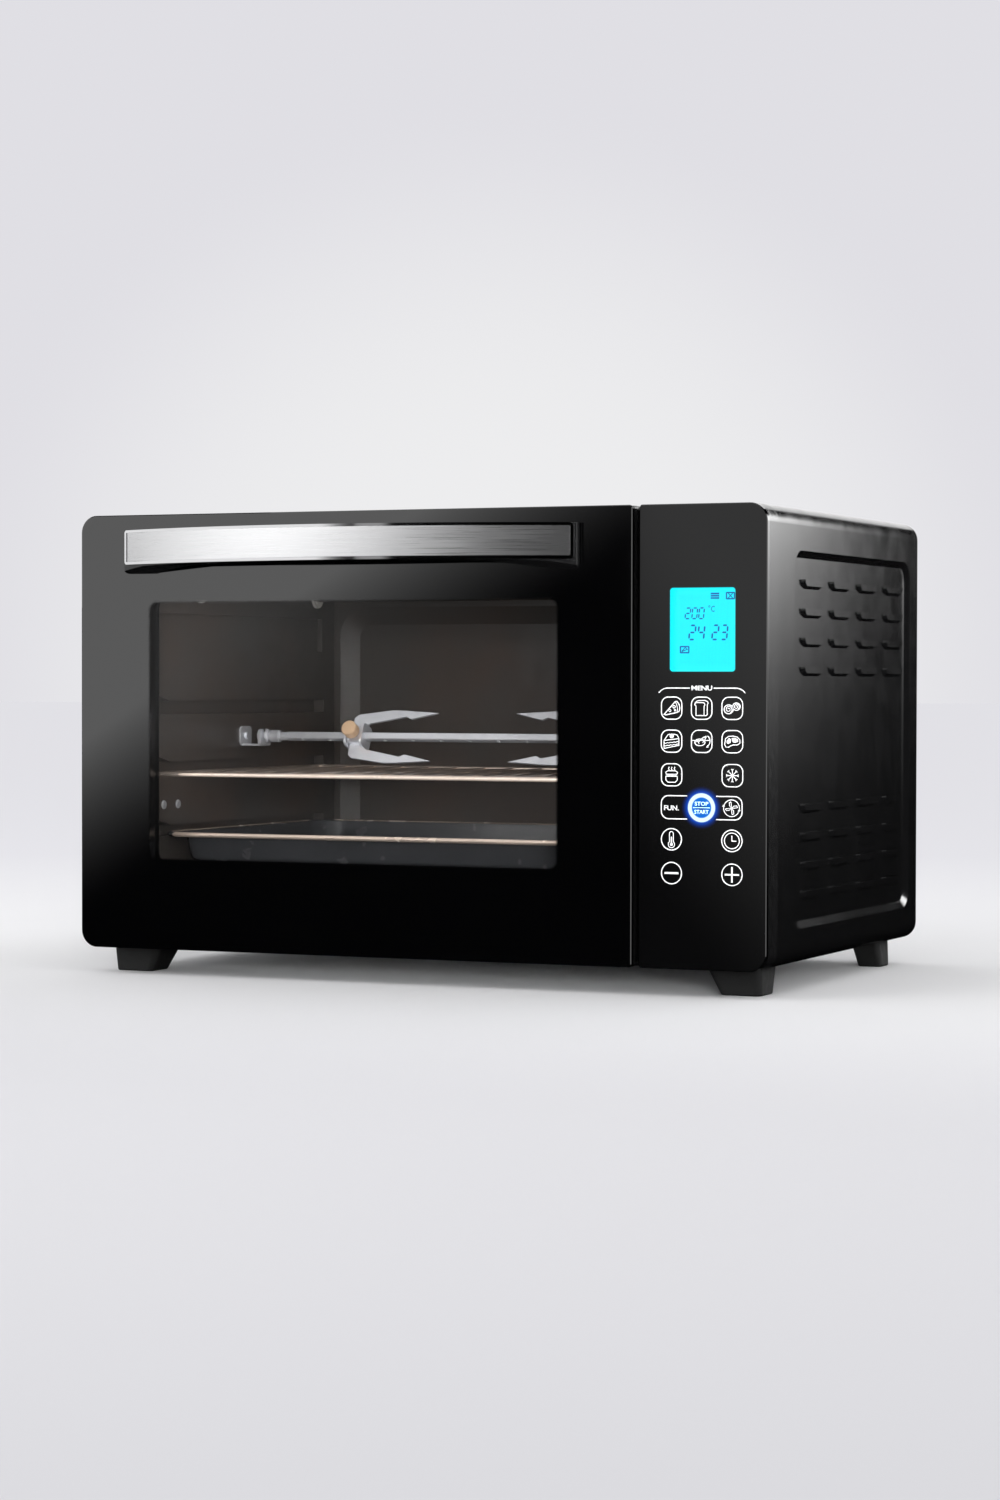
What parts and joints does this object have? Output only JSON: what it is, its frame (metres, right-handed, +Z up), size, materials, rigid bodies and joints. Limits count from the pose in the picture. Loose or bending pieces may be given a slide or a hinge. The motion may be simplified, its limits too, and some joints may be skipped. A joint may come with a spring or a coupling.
{
  "type": "toaster oven",
  "caption": "Countertop oven with a drop-down glass door, bowed bar handle, touch control panel with display, rotisserie spit, wire shelf, tray and louvred sides.",
  "frame": {"origin": "on the table under the middle of the oven's bounding box", "axes": "+X along the oven's width to the right as seen from the front, +Y to the back, +Z up; the door faces -Y"},
  "size_m": [0.488, 0.37, 0.3075],
  "materials": {
    "body_black": "satin",
    "moulded_black": "fine texture",
    "foot_black": "matte",
    "printed_glass": "gloss, printed black on the back",
    "clear_glass": "gloss, lightly tinted",
    "cavity_enamel": "semi-gloss grey enamel",
    "zinc_steel": "zinc plated",
    "brushed_trim": "brushed with a polished edge",
    "chromed_wire": "bright",
    "spit_steel": "bright nickel",
    "screw_brass": "polished",
    "tray_enamel": "gloss dark enamel",
    "heater_sheath": "oxidised",
    "ceramic_white": "matte",
    "aluminium_wheel": "plain",
    "motor_steel": "plain",
    "circuit_green": "solder resist",
    "component_black": "moulded",
    "display_cyan": "backlit",
    "ring_light": "translucent, lit",
    "fibre_mat": "glass fibre"
  },
  "bodies": {
    "oven_body": {"side_panel_right": "body_black", "side_panel_left": "body_black", "top_cover": "body_black", "base_plate": "zinc_steel", "rear_panel": "body_black", "rear_screws": "zinc_steel", "cord_gland": "moulded_black", "front_feet": "foot_black", "rear_feet": "foot_black", "foot_screws": "zinc_steel", "front_frame": "body_black", "cavity_wall_left": "cavity_enamel", "cavity_wall_right": "cavity_enamel", "wall_rivets": "zinc_steel", "cavity_ceiling": "cavity_enamel", "cavity_floor": "cavity_enamel", "cavity_back": "cavity_enamel", "heater_upper_front": "heater_sheath", "heater_upper_rear": "heater_sheath", "heater_lower_front": "heater_sheath", "heater_lower_rear": "heater_sheath", "heater_bushes": "ceramic_white", "temperature_probe": "zinc_steel", "insulation_top": "fibre_mat", "fan_can": "zinc_steel", "fan_motor": "motor_steel", "spit_support": "spit_steel", "spit_motor": "motor_steel", "hinge_brackets": "zinc_steel", "panel_glass": "printed_glass", "panel_housing": "moulded_black", "display_module": "display_cyan", "start_ring": "ring_light", "touch_board": "circuit_green", "power_board": "circuit_green", "board_posts": "moulded_black", "power_parts": "component_black"},
    "door": {"door_glass": "printed_glass", "door_frame": "moulded_black", "door_inner_glass": "clear_glass", "door_liner": "body_black", "door_screws": "zinc_steel", "hinge_pins": "zinc_steel", "handle_grip": "moulded_black", "handle_trim": "brushed_trim", "handle_screws": "zinc_steel"},
    "rack": {"wire_rack": "chromed_wire"},
    "tray": {"baking_tray": "tray_enamel"},
    "spit": {"spit_rod": "spit_steel", "drive_socket": "spit_steel"},
    "fork_left_body": {"fork_left": "spit_steel"},
    "fork_right_body": {"fork_right": "spit_steel"},
    "screw_left_body": {"fork_screw_left": "screw_brass"},
    "screw_right_body": {"fork_screw_right": "screw_brass"},
    "convection_fan": {"fan_rotor": "aluminium_wheel", "cooling_fan": "aluminium_wheel", "fan_shaft": "zinc_steel"}
  },
  "joints": [
    {"name": "door_hinge", "type": "hinge", "parent": "oven_body", "child": "door", "pos_m": [-0.044, -0.128, 0.0265], "axis": [1, 0, 0], "range_deg": [0, 80]},
    {"name": "rack_slide", "type": "slide", "parent": "oven_body", "child": "rack", "axis": [0, -1, 0], "range_m": [0, 0.14]},
    {"name": "tray_slide", "type": "slide", "parent": "oven_body", "child": "tray", "axis": [0, -1, 0], "range_m": [0, 0.056]},
    {"name": "spit_turn", "type": "hinge", "parent": "oven_body", "child": "spit", "pos_m": [-0.044, 0.01, 0.158], "axis": [1, 0, 0], "continuous": true},
    {"name": "fork_left_slide", "type": "slide", "parent": "spit", "child": "fork_left_body", "axis": [1, 0, 0], "range_m": [-0.0405, 0.025]},
    {"name": "fork_right_slide", "type": "slide", "parent": "spit", "child": "fork_right_body", "axis": [1, 0, 0], "range_m": [-0.025, 0.0285]},
    {"name": "screw_left_turn", "type": "hinge", "parent": "fork_left_body", "child": "screw_left_body", "pos_m": [-0.1105, 0.01, 0.158], "axis": [0, -0.9135, 0.4067], "continuous": true},
    {"name": "screw_right_turn", "type": "hinge", "parent": "fork_right_body", "child": "screw_right_body", "pos_m": [0.0665, 0.01, 0.158], "axis": [0, -0.9135, 0.4067], "continuous": true},
    {"name": "fan_turn", "type": "hinge", "parent": "oven_body", "child": "convection_fan", "pos_m": [0.15, 0.05, 0.2295], "axis": [1, 0, 0], "continuous": true}
  ],
  "couplings": [
    {"joint": "rack_slide", "follows": "door_hinge", "m_per_rad": 0.1},
    {"joint": "tray_slide", "follows": "door_hinge", "m_per_rad": 0.04}
  ]
}
